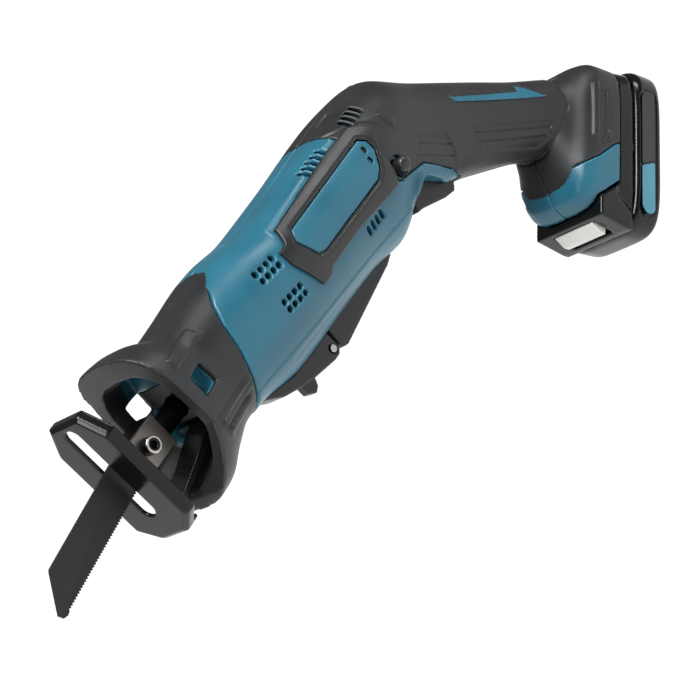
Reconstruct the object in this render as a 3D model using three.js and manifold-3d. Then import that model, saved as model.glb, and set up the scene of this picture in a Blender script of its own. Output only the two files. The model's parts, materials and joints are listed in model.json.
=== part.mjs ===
// Cordless reciprocating saw, compact one-handed size.
// Frame: X runs back along the stroke axis (the blade points to -X), Z is up, Y is across the tool.
// The origin is on the front face of the shoe, below its slot. Millimetres.
// Pieces are drawn from the stroke axis, and the group stands them above the origin.
import * as THREE from 'three';
import { mergeVertices } from 'three/addons/utils/BufferGeometryUtils.js';
import Module from 'manifold-3d';

const wasm = await Module();
wasm.setup();

// ---------------------------------------------------------------- driving dimensions
const GAP = 0.3; // clearance between pieces that touch
const RING = 20; // points round a body section
const WALL = 2.5; // wall of the plastic casing
const GRIP_SKIN = 2.2; // thickness of the soft grip layer
const BOOT_WALL = 3; // thickness of the rubber nose cover
const LINING = GRIP_SKIN + GAP + WALL; // from the outside of the tool to the hollow inside
const BODY_HALF = 30; // half width of the motor barrel
const MOTOR_R = 18; // outside of the motor can
const MOTOR_SPACE = 1.5; // air between the motor can and the casing
const BARREL_TOP = MOTOR_R + MOTOR_SPACE + LINING; // height of the barrel above the stroke axis
const BARREL_BOTTOM = 33; // depth of the barrel below the stroke axis
const SHOULDER_X = 188; // where the barrel turns into the handle
const HANDLE_PITCH = 38; // slope of the handle below the stroke axis, degrees
const HANDLE_RUN = 62; // length of the plain grip, from shoulder to battery holder
const HANDLE_HALF = 17; // half width of the grip
const COVER_PROUD = 2; // how far the side covers stand off the barrel
const PANEL_PROUD = 1.2; // how far the panels inside the covers stand off the barrel
const INLAY_DEEP = 0.8; // how far the coloured inlay is let into the grip
const SCREW_R = 1.6; // casing screw, shank radius
const SCREW_HEAD_R = 3;
const SCREW_SEAT = 12; // underside of a screw head, from the middle plane
const SCREW_DEEP = -8; // tip of a screw
const BOSS_R = 3.6; // plastic post round each casing screw
const SLOT_GAP = 1.1; // half width of a cooling slot
const SLOT_PITCH = 3.6; // from one cooling slot to the next
const NECK_FRONT = 44; // front of the plastic neck, inside the rubber cover

const AXIS_HEIGHT = 25; // height of the stroke axis above the origin
const STROKE = 13; // travel of the blade
const ROD_R = 5; // reciprocating rod
const BUSH_R = 8; // bush that guides the rod
const BUSH_FRONT = 46;
const BUSH_LENGTH = 14;
const CLAMP_FRONT = 8.3; // front of the blade clamp at the forward end of the stroke
const CLAMP_LENGTH = 20;
const CLAMP_TOP = 9.2;
const CLAMP_BOTTOM = 6.6;
const CLAMP_BACK = 7; // far face of the clamp block
const CLAMP_PLATE = 2.8; // thickness of the clamping plate
const BLADE_THICK = 1.2;
const BLADE_WIDTH = 16;
const BLADE_REACH = 61; // how far the blade stands out in front of the shoe
const BLADE_PITCH = 5.8; // blade lean toward its teeth, degrees
const TOOTH_PITCH = 1.41;
const TOOTH_DEPTH = 0.8;
const BOLT_R = 2; // clamp bolt, shank radius
const BOLT_HEAD_R = 3.8;
const BOLT_HEAD = 4.6;

const SHOE_HALF = 20; // half width of the shoe plate
const SHOE_TOP = 34;
const SHOE_BOTTOM = 32;
const SHOE_THICK = 2;
const SHOE_FLANGE = 6;
const SLOT_HALF = 4;
const SLOT_TOP = 30;
const SLOT_BOTTOM = 19;
const PIVOT_X = 50; // shoe hinge
const PIVOT_Z = -14.5;
const PIVOT_R = 2;

const MOTOR_FRONT = 126; // front of the motor can
const MOTOR_LENGTH = 56;
const SHAFT_R = 2.5;
const ROTOR_R = MOTOR_R - 5.6;
const FAN_R = MOTOR_R + 0.5;
const FRONT_BEARING_R = 7;
const REAR_BEARING_R = 6;
const GEAR_X = 84; // axis of the crank gear
const GEAR_R = 17;
const GEAR_THICK = 5;
const GEAR_TOP = -11; // height of the top face of the crank gear
const PINION_R = 5;
const CRANK_PIN_R = 3;
const YOKE_BOTTOM = -6.2; // underside of the rod's slotted yoke

const PADDLE_HALF = 7; // half width of the paddle under the barrel
const PADDLE_PIN = [117, -39.5];
const PADDLE_PIN_R = 1.8;
const BUTTON_X = 197; // lock-off button, across the tool
const BUTTON_Z = -9.5;
const BUTTON_R = 3.6;
const BUTTON_TRAVEL = 5;

const BATTERY_HALF = 27;
const BATTERY_LENGTH = 87;
const BACK = -BATTERY_LENGTH / 2; // ends of the battery along its own axis
const FRONT = BATTERY_LENGTH / 2;
const BATTERY_FLANGE = 17; // height of the lower case
const BATTERY_NECK = 26.6; // height of the neck, up to the holder
const BATTERY_HUMP = 37.2; // height of the rail block
const HOLDER_HALF = 26;
const HOLDER_SKIRT = 38.3; // lower edge of the holder at the front
const CELL_R = 9.1;
const CELL_LENGTH = 65;
const BATTERY_TILT = 32; // slope of the battery base below the stroke axis, degrees

// ---------------------------------------------------------------- helpers
const rad = (deg) => (deg * Math.PI) / 180;
const TEAL = 0x2f7d92;
const DARK = 0x35373a;
const finishes = {
  teal: { color: TEAL, roughness: 0.4, metalness: 0 },
  rubber: { color: DARK, roughness: 0.75, metalness: 0 },
  plastic: { color: 0x2c2e31, roughness: 0.5, metalness: 0 },
  gloss: { color: 0x16181a, roughness: 0.2, metalness: 0 },
  ivory: { color: 0xe4e4df, roughness: 0.5, metalness: 0 },
  steel: { color: 0x9a9894, roughness: 0.35, metalness: 1 },
  black_steel: { color: 0x2b2c2e, roughness: 0.35, metalness: 1 },
  brass: { color: 0xb08d4a, roughness: 0.35, metalness: 1 },
  copper: { color: 0xb8694a, roughness: 0.4, metalness: 1 },
  clear: { color: 0xe8eef0, roughness: 0.1, metalness: 0 },
};

const saw = new THREE.Group();
saw.name = 'reciprocating_saw';
saw.position.z = AXIS_HEIGHT;

// A closed three.js geometry as a manifold solid.
function solid(geometry) {
  const bare = geometry.clone();
  bare.deleteAttribute('normal');
  if (bare.attributes.uv) bare.deleteAttribute('uv');
  const merged = mergeVertices(bare, 1e-4);
  return new wasm.Manifold(new wasm.Mesh({
    numProp: 3,
    vertProperties: new Float32Array(merged.attributes.position.array),
    triVerts: new Uint32Array(merged.index.array),
  }));
}

function add(name, finish, piece) {
  const mesh = piece.getMesh();
  const geometry = new THREE.BufferGeometry();
  geometry.setAttribute('position', new THREE.BufferAttribute(new Float32Array(mesh.vertProperties), 3));
  geometry.setIndex(new THREE.BufferAttribute(new Uint32Array(mesh.triVerts), 1));
  geometry.computeVertexNormals();
  const node = new THREE.Mesh(geometry, new THREE.MeshStandardMaterial(finishes[finish]));
  node.name = name;
  saw.add(node);
}

const union = (...pieces) => pieces.reduce((sum, piece) => sum.add(piece));

function box(x0, x1, y0, y1, z0, z1) {
  const geometry = new THREE.BoxGeometry(x1 - x0, y1 - y0, z1 - z0);
  geometry.translate((x0 + x1) / 2, (y0 + y1) / 2, (z0 + z1) / 2);
  return solid(geometry);
}

// Side-view outline [x, z] pushed across the tool from y0 to y1.
function prism(points, y0, y1) {
  const shape = new THREE.Shape(points.map(([x, z]) => new THREE.Vector2(x, z)));
  const options = { depth: y1 - y0, bevelEnabled: false, curveSegments: 8 };
  const geometry = new THREE.ExtrudeGeometry(shape, options);
  geometry.rotateX(Math.PI / 2);
  geometry.translate(0, y1, 0);
  return solid(geometry);
}

// Front-view outline [y, z] pushed back from x0 to x1.
function plate(shape, x0, x1) {
  const options = { depth: x1 - x0, bevelEnabled: false, curveSegments: 8 };
  const geometry = new THREE.ExtrudeGeometry(shape, options);
  geometry.rotateX(Math.PI / 2);
  geometry.rotateZ(Math.PI / 2);
  geometry.translate(x0, 0, 0);
  return solid(geometry);
}

// Round bar between two points.
function bar(from, to, radius, sides = 20, radiusTo = radius) {
  const start = new THREE.Vector3(...from);
  const end = new THREE.Vector3(...to);
  const along = end.clone().sub(start);
  const geometry = new THREE.CylinderGeometry(radiusTo, radius, along.length(), sides);
  geometry.translate(0, along.length() / 2, 0);
  const upright = new THREE.Vector3(0, 1, 0);
  const turn = new THREE.Quaternion().setFromUnitVectors(upright, along.clone().normalize());
  geometry.applyQuaternion(turn);
  geometry.translate(start.x, start.y, start.z);
  return solid(geometry);
}

// Skin through a row of rings that all have the same number of points, closed at both ends.
function skin(rings) {
  const count = rings[0].length;
  const positions = rings.flat().flatMap((point) => [point.x, point.y, point.z]);
  const indices = [];
  for (let row = 0; row + 1 < rings.length; row += 1) {
    for (let i = 0; i < count; i += 1) {
      const a = row * count + i;
      const b = row * count + ((i + 1) % count);
      indices.push(a, a + count, b, b, a + count, b + count);
    }
  }
  const last = (rings.length - 1) * count;
  for (let i = 1; i + 1 < count; i += 1) {
    indices.push(0, i, i + 1);
    indices.push(last, last + i + 1, last + i);
  }
  const geometry = new THREE.BufferGeometry();
  geometry.setAttribute('position', new THREE.BufferAttribute(new Float32Array(positions), 3));
  geometry.setIndex(indices);
  return solid(geometry);
}

// One ring of a body: centre [x, z], the direction of its height, and its half sizes.
function ring({ at, lean = 0, up, down, half, above = 2.8, below = 2.2 }, inset = 0) {
  const points = [];
  const tall = [Math.sin(rad(lean)), Math.cos(rad(lean))];
  for (let i = 0; i < RING; i += 1) {
    const turn = (2 * Math.PI * i) / RING;
    const c = Math.cos(turn);
    const s = Math.sin(turn);
    const power = 2 / (s > 0 ? above : below);
    const y = (half - inset) * Math.sign(c) * Math.abs(c) ** power;
    const h = ((s > 0 ? up : down) - inset) * Math.sign(s) * Math.abs(s) ** power;
    points.push(new THREE.Vector3(at[0] + tall[0] * h, -y, at[1] + tall[1] * h));
  }
  return points;
}

// Outline moved outward from its middle.
function spread(points, grow) {
  const area = points.reduce((sum, [x, z], i) => {
    const [nx, nz] = points[(i + 1) % points.length];
    return sum + x * nz - nx * z;
  }, 0);
  const edges = points.map(([x, z], i) => {
    const [nx, nz] = points[(i + 1) % points.length];
    const dir = new THREE.Vector2(nx - x, nz - z).normalize();
    const out = new THREE.Vector2(dir.y, -dir.x).multiplyScalar(Math.sign(area) * grow);
    return { dir, from: new THREE.Vector2(x, z).add(out) };
  });
  return points.map((point, i) => {
    const last = edges[(i + points.length - 1) % points.length];
    const next = edges[i];
    const turn = last.dir.x * next.dir.y - last.dir.y * next.dir.x;
    const step = next.from.clone().sub(last.from);
    const t = Math.abs(turn) < 1e-3 ? 0 : (step.x * next.dir.y - step.y * next.dir.x) / turn;
    const straight = Math.abs(turn) < 1e-3;
    if (straight) return [next.from.x, next.from.y];
    return [last.from.x + last.dir.x * t, last.from.y + last.dir.y * t];
  });
}

// ---------------------------------------------------------------- outer form of the tool
// Nose, barrel and handle are one form that turns down at the shoulder.
const T = BARREL_TOP;
const D = BARREL_BOTTOM;
const W = BODY_HALF;
const handleDir = [Math.cos(rad(HANDLE_PITCH)), -Math.sin(rad(HANDLE_PITCH))];
const gripUp = [Math.sin(rad(HANDLE_PITCH)), Math.cos(rad(HANDLE_PITCH))];
const gripStart = [SHOULDER_X + 69, -26];
// Point of the handle: t runs down its middle line, h is the height above that line.
const grip = (t, h) => [
  gripStart[0] + handleDir[0] * t + gripUp[0] * h,
  gripStart[1] + handleDir[1] * t + gripUp[1] * h,
];
const along = (t) => grip(t, 0);
const sections = [
  { at: [8, 0], up: T + 11.5, down: D + 2.5, half: W + 0.5, above: 3.1, below: 2.6 },
  { at: [30, 0], up: T + 13, down: D + 2.5, half: W + 1.2, above: 3.1, below: 2.5 },
  { at: [42, 0], up: T + 11, down: D - 2.5, half: W - 1.5, above: 3, below: 2.4 },
  { at: [54, 0], up: T + 2.2, down: D - 7.5, half: W - 4.5, above: 3, below: 2.8 },
  { at: [72, 0], up: T + 2.8, down: D - 6.5, half: W - 4, above: 3, below: 2.6 },
  { at: [92, 0], up: T + 4.3, down: D - 1, half: W - 2, above: 2.8, below: 2.2 },
  { at: [106, 0], up: T + 3.6, down: D, half: W - 1, above: 2.8, below: 2.1 },
  { at: [124, 0], up: T, down: D, half: W, above: 2.8, below: 2.1 },
  { at: [SHOULDER_X - 26, 0], up: T, down: D + 1, half: W, above: 2.8, below: 2.1 },
  { at: [SHOULDER_X - 4, -1], lean: 2, up: T + 2, down: D + 4, half: W, above: 2.8, below: 2.2 },
  { at: [SHOULDER_X + 12, -2], lean: 14, up: T + 4.5, down: D + 1.5, half: W - 1.5, above: 2.6, below: 2.3 },
  { at: [SHOULDER_X + 30, -4], lean: 27, up: 31, down: 31, half: W - 5, above: 2.3, below: 2.4 },
  { at: [SHOULDER_X + 48, -14], lean: 34, up: 25, down: 29, half: HANDLE_HALF + 4, above: 2.2, below: 2.4 },
  { at: along(0), lean: HANDLE_PITCH, up: 21, down: 25, half: HANDLE_HALF + 1, above: 2.2, below: 2.4 },
  { at: along(20), lean: HANDLE_PITCH, up: 20.5, down: 22, half: HANDLE_HALF, above: 2.2, below: 2.4 },
  { at: along(40), lean: HANDLE_PITCH, up: 19.5, down: 19, half: HANDLE_HALF, above: 2.2, below: 2.4 },
  {
    at: along(HANDLE_RUN), lean: HANDLE_PITCH, up: 19.5, down: 19.5, half: HANDLE_HALF + 2,
    above: 2.3, below: 2.6,
  },
];

// The battery holder has its own frame: u runs forward along the battery, v up from its base.
const foot = along(HANDLE_RUN + 3);
const uDir = [-Math.cos(rad(BATTERY_TILT)), -Math.sin(rad(BATTERY_TILT))];
const vDir = [-Math.sin(rad(BATTERY_TILT)), Math.cos(rad(BATTERY_TILT))];
const baseOrigin = [foot[0] - uDir[0] * -11 - vDir[0] * 52, foot[1] - uDir[1] * -11 - vDir[1] * 52];
const uv = (u, v) => [
  baseOrigin[0] + uDir[0] * u + vDir[0] * v,
  baseOrigin[1] + uDir[1] * u + vDir[1] * v,
];
const uvPrism = (points, y0, y1) => prism(points.map(([u, v]) => uv(u, v)), y0, y1);

// Ring round the battery axis at height v: back and front are its ends along u.
function footRing({ v, back, front, half, power = 4.5 }, inset = 0) {
  const points = [];
  for (let i = 0; i < RING; i += 1) {
    const turn = (2 * Math.PI * i) / RING;
    const c = Math.cos(turn);
    const s = Math.sin(turn);
    const reach = (front - back) / 2 - inset;
    const u = (front + back) / 2 + reach * Math.sign(c) * Math.abs(c) ** (2 / power);
    const y = (half - inset) * Math.sign(s) * Math.abs(s) ** (2 / power);
    const [x, z] = uv(u, v);
    points.push(new THREE.Vector3(x, y, z));
  }
  return points;
}

const holderSections = [
  { v: 26.9, back: BACK + 3.5, front: FRONT - 6.5, half: HOLDER_HALF },
  { v: 41, back: BACK + 3.5, front: FRONT - 6.5, half: HOLDER_HALF },
  { v: 47.5, back: BACK + 7, front: FRONT - 10.5, half: HOLDER_HALF - 1.5, power: 4 },
  { v: 52.5, back: -31, front: 24, half: HOLDER_HALF - 5.5, power: 3 },
  { v: 58.8, back: -28, front: 14, half: HANDLE_HALF + 0.5, power: 2.5 },
];

// The whole outer form, drawn in by an inset on every side.
function body(inset) {
  const tube = sections.map((section) => ring(section, inset));
  tube.push(ring({ ...sections.at(-1), at: along(HANDLE_RUN + 1 - inset / 2) }, inset));
  const holder = holderSections.map((section, i) => footRing(
    { ...section, v: section.v - (i === 0 ? 0 : inset) }, inset));
  return skin(tube).add(skin(holder));
}

// ---------------------------------------------------------------- side-view regions
const FAR = 60; // past every side of the tool
const noseSeam = [
  [112, 42], [103, 31], [94, 27], [84, 24], [77, 19], [72.5, 12], [69.5, 0], [62, -21], [60, -45],
];
const shift = (points, dx, dz = 0) => points.map(([x, z]) => [x + dx, z + dz]);
const noseRegion = (dx) => prism([[-5, 45], ...shift(noseSeam, dx), [-5, -45]], -FAR, FAR);
// Black rear part: cap behind the barrel, shoulder, grip and upper holder.
const capX = SHOULDER_X - 3;
const skirtLine = [
  [BACK - 1, 46], [BACK - 1, 25.8], [1, 25.8], [4, 31], [12, 40], [19, 50.5], [34, 49.5],
  [FRONT - 1.5, 47], [FRONT - 1.5, 80],
];
const gripLine = [
  [capX, 45], [capX, 14], [capX + 3, -8], [capX + 7, -14], [capX + 18, -16.5], [capX + 30, -20],
  [capX + 47, -36], [capX + 54, -45], [capX + 62, -66],
  ...skirtLine.slice(2).reverse().map(([u, v]) => uv(u, v)),
  uv(BACK - 16, 20), uv(BACK - 16, 100), [capX + 90, 60],
];
const gripRegion = (grow) => prism(spread(gripLine, grow), -FAR, FAR);

// ---------------------------------------------------------------- casing
const LEFT = box(-20, 420, -FAR, -GAP / 2, -200, 80);
const RIGHT = box(-20, 420, GAP / 2, FAR, -200, 80);
const triggerNotch = prism(
  [[199, -50], [202, -35.5], [206, -29], [211, -25.5], [214, -26], [231, -41.5], [236, -50]], -FAR, FAR);
const outer = body(0).subtract(triggerNotch);
const hollow = body(LINING);
const belowSkirt = uvPrism(
  [[-70, 27.2], [21.5, 27.2], [31, HOLDER_SKIRT], [70, HOLDER_SKIRT], [70, -40], [-70, -40]], -FAR, FAR);
const bareRegion = box(-20, 420, -FAR, FAR, -200, 80).subtract(noseRegion(GAP)).subtract(gripRegion(GAP));

// Both sides get the same openings.
const ventGrids = [[111.5, 12.3], [111.5, -4.2]].flatMap(([x, z]) => [0, 1, 2, 3].flatMap((row) => [0, 1].map(
  (column) => [x - 3.7 * row, z - 3.9 * column + 0.4 * row])));
const sideSlots = [
  ...[0, 1, 2, 3, 4].map((i) => [SHOULDER_X - 12.5 - SLOT_PITCH * i, 19, 3]),
  ...[0, 1, 2, 3].map((i) => [SHOULDER_X - 16.5 - SLOT_PITCH * i, -15.6, 2.4]),
  ...[0, 1, 2, 3].map((i) => [SHOULDER_X + 18.5 - SLOT_PITCH * i, 19.5, 2.4]),
];
const holes = [
  ...ventGrids.map(([x, z]) => box(x - 1.4, x + 1.4, -FAR, FAR, z - 1.5, z + 1.5)),
  ...sideSlots.map(([x, z, h]) => box(x - SLOT_GAP, x + SLOT_GAP, -FAR, FAR, z - h, z + h)),
];
const paddleGap = box(119, 181, -PADDLE_HALF - GAP, PADDLE_HALF + GAP, -60, -25.6);
const triggerGap = prism([
  [203, -60], [203, -34], [206, -27], [212, -21], [222, -14], [244, -31], [239, -40], [236, -60],
], -PADDLE_HALF - GAP, PADDLE_HALF + GAP);
const buttonBore = bar([BUTTON_X, -FAR, BUTTON_Z], [BUTTON_X, FAR, BUTTON_Z], BUTTON_R + GAP, 24);
const buttonDish = [-1, 1].map((side) => bar(
  [BUTTON_X, side * (BODY_HALF - 4.5), BUTTON_Z], [BUTTON_X, side * FAR, BUTTON_Z], BUTTON_R + 1.6, 24));

const underMotor = -MOTOR_R - BOSS_R - 0.6; // height of the screw that passes below the motor can
const screwSpots = [[61, -19], [102, 22], [143, underMotor], [213, 16], [246, -6], [268, -46], uv(24, 45)];
const underBoot = body(BOOT_WALL + GAP);
const core = body(GRIP_SKIN + GAP).subtract(triggerNotch).subtract(noseRegion(GAP).subtract(underBoot));
const bosses = screwSpots.map(([x, z]) => bar([x, -FAR, z], [x, FAR, z], BOSS_R, 10).intersect(core));
const screwSpace = screwSpots.map(([x, z]) => union(
  bar([x, SCREW_DEEP - GAP, z], [x, FAR, z], SCREW_R + GAP, 8),
  bar([x, SCREW_SEAT - GAP, z], [x, FAR, z], SCREW_HEAD_R + GAP, 12)));

// Hard casing: full size where it shows, thinner under the rubber cover and the grip layer.
const neckLine = [[NECK_FRONT, 45], [NECK_FRONT, -45], [110, -45], [112, 45]];
const neck = underBoot.intersect(prism(neckLine, -FAR, FAR));
const casingForm = union(outer.intersect(bareRegion), neck, core.intersect(gripRegion(0.5)))
  .intersect(box(NECK_FRONT, 420, -FAR, FAR, -200, 80)).subtract(belowSkirt);
const ledgeLine = [[-34, 28.2], [21, 28.2], [21, 31.2], [-34, 31.2]];
const ledges = [[-25, -18], [18, 25]].map(([y0, y1]) => uvPrism(ledgeLine, y0, y1).intersect(core));
// Wall across the casing that holds a round piece on the stroke axis.
const seat = (x, thick, bore, z0 = -40, z1 = 40) => box(x, x + thick, -FAR, FAR, z0, z1)
  .intersect(core)
  .subtract(bar([x - 1, 0, 0], [x + thick + 1, 0, 0], bore + GAP, 24));
const seats = [
  seat(BUSH_FRONT + 3, 2.5, BUSH_R, -9.4),
  seat(BUSH_FRONT + 11, 2.4, BUSH_R, -9.4),
  seat(MOTOR_FRONT - 19.5, 3, FRONT_BEARING_R),
  seat(MOTOR_FRONT + 3, 2, MOTOR_R, -25.6),
  seat(MOTOR_FRONT + MOTOR_LENGTH - 3.2, 3, REAR_BEARING_R, -25.6),
];
// A window on each side of the nose looks in at the clamp and the rod.
const windows = [[-FAR, -14], [14, FAR]].map(([y0, y1]) => box(40.4, 51, y0, y1, 0.2, 10.6));
const pivotHalf = BODY_HALF / 2 + 4; // the hinge pin stops just short of the rubber cover's inside
const boreHalf = pivotHalf + 1;
const pivotBore = bar([PIVOT_X, -boreHalf, PIVOT_Z], [PIVOT_X, boreHalf, PIVOT_Z], PIVOT_R + GAP, 16);
const holderVoid = uvPrism(
  [[BACK + 7, 20], [FRONT + 0.5, 20], [FRONT + 0.5, HOLDER_SKIRT], [BACK + 7, HOLDER_SKIRT]],
  -BATTERY_HALF + 5.5, BATTERY_HALF - 5.5);
let casing = casingForm.subtract(hollow).subtract(holderVoid);
casing = union(casing, ...bosses, ...seats, ...ledges);
const cuts = [
  ...holes, ...windows, pivotBore, paddleGap, triggerGap, buttonBore, ...buttonDish, ...screwSpace,
];
for (const hole of cuts) {
  casing = casing.subtract(hole);
}

add('housing_left', 'teal', casing.intersect(LEFT));
add('housing_right', 'teal', casing.intersect(RIGHT));

const noseFront = prism(
  [[60, 60], [26, 60], [30, 38], [33, 19], [33, -7], [20, -30], [14, -60], [60, -60], [150, -60], [150, 60]],
  -FAR, FAR);
// Rubber nose cover: one moulding pulled over the neck, with a flared guard in front.
const noseBore = skin([
  { at: [0, 0], up: 30, down: 29, half: 27, above: 3, below: 2.6 },
  { at: [24, 0], up: 28, down: 27, half: 25.5, above: 3, below: 2.6 },
  { at: [NECK_FRONT - GAP, 0], up: T - 0.8, down: D - 10.6, half: W - 7.6, above: 3, below: 2.8 },
].map((section) => ring(section)));
const noseCover = outer.intersect(noseRegion(-GAP)).intersect(noseFront)
  .subtract(body(BOOT_WALL).intersect(box(NECK_FRONT - GAP, 420, -FAR, FAR, -200, 80)))
  .subtract(noseBore).subtract(union(...windows)).subtract(screwSpace[0]);
add('nose_cover', 'rubber', noseCover);

// Soft grip layer bonded to each casing half.
let gripLayer = outer.intersect(gripRegion(0)).subtract(body(GRIP_SKIN)).subtract(belowSkirt);
const stripeLine = [
  grip(-7.6, 9.8), grip(37, 11), grip(39, 14.8), grip(53, 7.1), grip(38.3, 7.1), grip(-5.5, 7.1),
];
const stripePocket = prism(spread(stripeLine, GAP), -FAR, FAR).subtract(body(INLAY_DEEP + GAP));
for (const hole of [...holes, buttonBore, ...buttonDish, triggerGap, stripePocket, ...screwSpace]) {
  gripLayer = gripLayer.subtract(hole);
}
add('grip_left', 'rubber', gripLayer.intersect(LEFT));
add('grip_right', 'rubber', gripLayer.intersect(RIGHT));

// ---------------------------------------------------------------- side covers
// A black frame stands on each side of the barrel, round an inset panel.
const coverLine = [
  [124, 18.5], [120, 12], [115, 12], [115, 4.5], [121, -12.5], [127, -12.5], [130, -10.5], [155, -10.5],
  [180, -13], [187, -13.5], [191.5, -8], [191.5, 2], [199, 9], [199, 13.5], [192, 19.5], [177, 20]];
const panelLine = [
  [128, 13.3], [125, 9], [129, -1.8], [133, -3.4], [180, -4.2], [185, -2], [191, 5], [191, 10], [188, 13.3]];
const coverSkin = body(-COVER_PROUD).subtract(body(-GAP));
const panelSkin = body(-PANEL_PROUD).subtract(body(-GAP));
const panelHoles = [[186.5, 8.6], [184.6, 3.6]]
  .map(([x, z]) => box(x - 1.3, x + 1.3, -FAR, FAR, z - 1.5, z + 1.5));
for (const [side, y0, y1] of [['left', -FAR, -10], ['right', 10, FAR]]) {
  const frame = coverSkin.intersect(prism(coverLine, y0, y1))
    .subtract(prism(spread(panelLine, 2 * GAP), y0, y1));
  add(`side_cover_${side}`, 'plastic', frame);
  const panel = panelSkin.intersect(prism(panelLine, y0, y1));
  add(`side_panel_${side}`, 'teal', panel.subtract(union(...panelHoles)));
}

// Coloured inlay along the top of each side of the grip.
const inlaySkin = body(-0.2).subtract(body(INLAY_DEEP));
for (const [side, y0, y1] of [['left', -FAR, -4], ['right', 4, FAR]]) {
  add(`grip_inlay_${side}`, 'teal', inlaySkin.intersect(prism(stripeLine, y0, y1)));
}

// ---------------------------------------------------------------- casing screws
screwSpots.forEach(([x, z], i) => {
  const head = bar([x, SCREW_SEAT, z], [x, SCREW_SEAT + 2.4, z], SCREW_HEAD_R, 12);
  const recess = bar([x, SCREW_SEAT + 1, z], [x, SCREW_SEAT + 3, z], 1.4, 6);
  add(`casing_screw_${i + 1}`, 'black_steel', head.subtract(recess)
    .add(bar([x, SCREW_DEEP, z], [x, SCREW_SEAT + 0.5, z], SCREW_R, 8)));
});

// ---------------------------------------------------------------- motor
const MOTOR_BACK = MOTOR_FRONT + MOTOR_LENGTH;
const can = bar([MOTOR_FRONT, 0, 0], [MOTOR_BACK - 8, 0, 0], MOTOR_R, 28)
  .subtract(bar([MOTOR_FRONT + 1.5, 0, 0], [MOTOR_BACK, 0, 0], MOTOR_R - 1.5, 28))
  .subtract(bar([MOTOR_FRONT - 2, 0, 0], [MOTOR_FRONT + 3, 0, 0], 5, 20));
add('motor_can', 'steel', can);
for (const [name, side] of [['upper', 1], ['lower', -1]]) {
  const arc = bar([MOTOR_FRONT + 8, 0, 0], [MOTOR_BACK - 16, 0, 0], MOTOR_R - 1.8, 28)
    .subtract(bar([MOTOR_FRONT, 0, 0], [MOTOR_BACK, 0, 0], MOTOR_R - 5, 28))
    .intersect(box(0, 300, -30, 30, side > 0 ? 5 : -30, side > 0 ? 30 : -5));
  add(`magnet_${name}`, 'black_steel', arc);
}
const endCap = bar([MOTOR_BACK - 7.7, 0, 0], [MOTOR_BACK - 4.5, 0, 0], MOTOR_R, 28)
  .subtract(bar([MOTOR_BACK - 9, 0, 0], [MOTOR_BACK, 0, 0], SHAFT_R + GAP, 16));
add('motor_end_cap', 'plastic', endCap);
for (const [name, side] of [['left', -1], ['right', 1]]) {
  const y = [side * 7, side * 13].sort((p, q) => p - q);
  add(`brush_${name}`, 'black_steel', box(MOTOR_BACK - 14, MOTOR_BACK - 9, y[0], y[1], -2.5, 2.5));
}

// Rotor: shaft, laminated core, windings, commutator, cooling fan and pinion turn as one.
const pinionX = GEAR_X + GEAR_R - 1.5; // clear of the yoke at the back of its stroke
add('motor_shaft', 'steel', bar([pinionX, 0, 0], [MOTOR_BACK + 4, 0, 0], SHAFT_R, 16));
const onShaft = bar([pinionX - 1, 0, 0], [MOTOR_BACK + 9, 0, 0], SHAFT_R + GAP / 2, 16);
let armature = bar([MOTOR_FRONT + 9, 0, 0], [MOTOR_BACK - 17, 0, 0], ROTOR_R, 30).subtract(onShaft);
for (let i = 0; i < 5; i += 1) {
  const turn = (2 * Math.PI * i) / 5;
  const [y, z] = [Math.cos(turn) * ROTOR_R, Math.sin(turn) * ROTOR_R];
  armature = armature.subtract(bar([MOTOR_FRONT, y, z], [MOTOR_BACK, y, z], 1.6, 8));
}
add('armature', 'copper', armature);
add('commutator', 'copper', bar([MOTOR_BACK - 15, 0, 0], [MOTOR_BACK - 8.6, 0, 0], 6.4, 20)
  .subtract(onShaft));
let fan = bar([MOTOR_FRONT - 5, 0, 0], [MOTOR_FRONT - 3, 0, 0], FAN_R, 28)
  .add(bar([MOTOR_FRONT - 14, 0, 0], [MOTOR_FRONT - 3, 0, 0], 6, 16));
for (let i = 0; i < 12; i += 1) {
  const blade = new THREE.BoxGeometry(8, FAN_R - 9, 1.2);
  blade.translate(MOTOR_FRONT - 8.5, FAN_R / 2 + 4.75, 0);
  blade.rotateX((2 * Math.PI * i) / 12);
  fan = fan.add(solid(blade));
}
add('cooling_fan', 'plastic', fan.subtract(onShaft));
const bearing = (x, radius) => bar([x, 0, 0], [x + 5, 0, 0], radius, 20)
  .subtract(bar([x - 1, 0, 0], [x + 6, 0, 0], SHAFT_R + GAP, 16));
add('front_bearing', 'steel', bearing(MOTOR_FRONT - 20.5, FRONT_BEARING_R));
add('rear_bearing', 'steel', bearing(MOTOR_BACK - 4.2, REAR_BEARING_R));

// ---------------------------------------------------------------- drive
// A bevel pinion turns the flat crank gear, which carries the crank pin below the rod's yoke.
const pinion = bar([pinionX, 0, 0], [pinionX + 5.5, 0, 0], PINION_R, 16, PINION_R + 1);
add('pinion', 'steel', pinion.subtract(onShaft));
const gearFoot = [GEAR_X, 0, GEAR_TOP - GEAR_THICK];
const crankGear = bar(gearFoot, [GEAR_X, 0, GEAR_TOP + 4.4], GEAR_R, 36, GEAR_R - 0.6)
  .subtract(bar([GEAR_X, 0, GEAR_TOP], [GEAR_X, 0, GEAR_TOP + 9], GEAR_R - 3.5, 30))
  .add(bar([GEAR_X, 0, GEAR_TOP - 9], [GEAR_X, 0, GEAR_TOP - GEAR_THICK + 1], 6, 20))
  .subtract(bar([GEAR_X, 0, -40], [GEAR_X, 0, 0], 3 + GAP / 2, 16));
add('crank_gear', 'steel', crankGear);
add('crank_shaft', 'steel', bar([GEAR_X, 0, GEAR_TOP - 12], [GEAR_X, 0, GEAR_TOP], 3, 16));
const crankX = GEAR_X - STROKE / 2;
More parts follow.
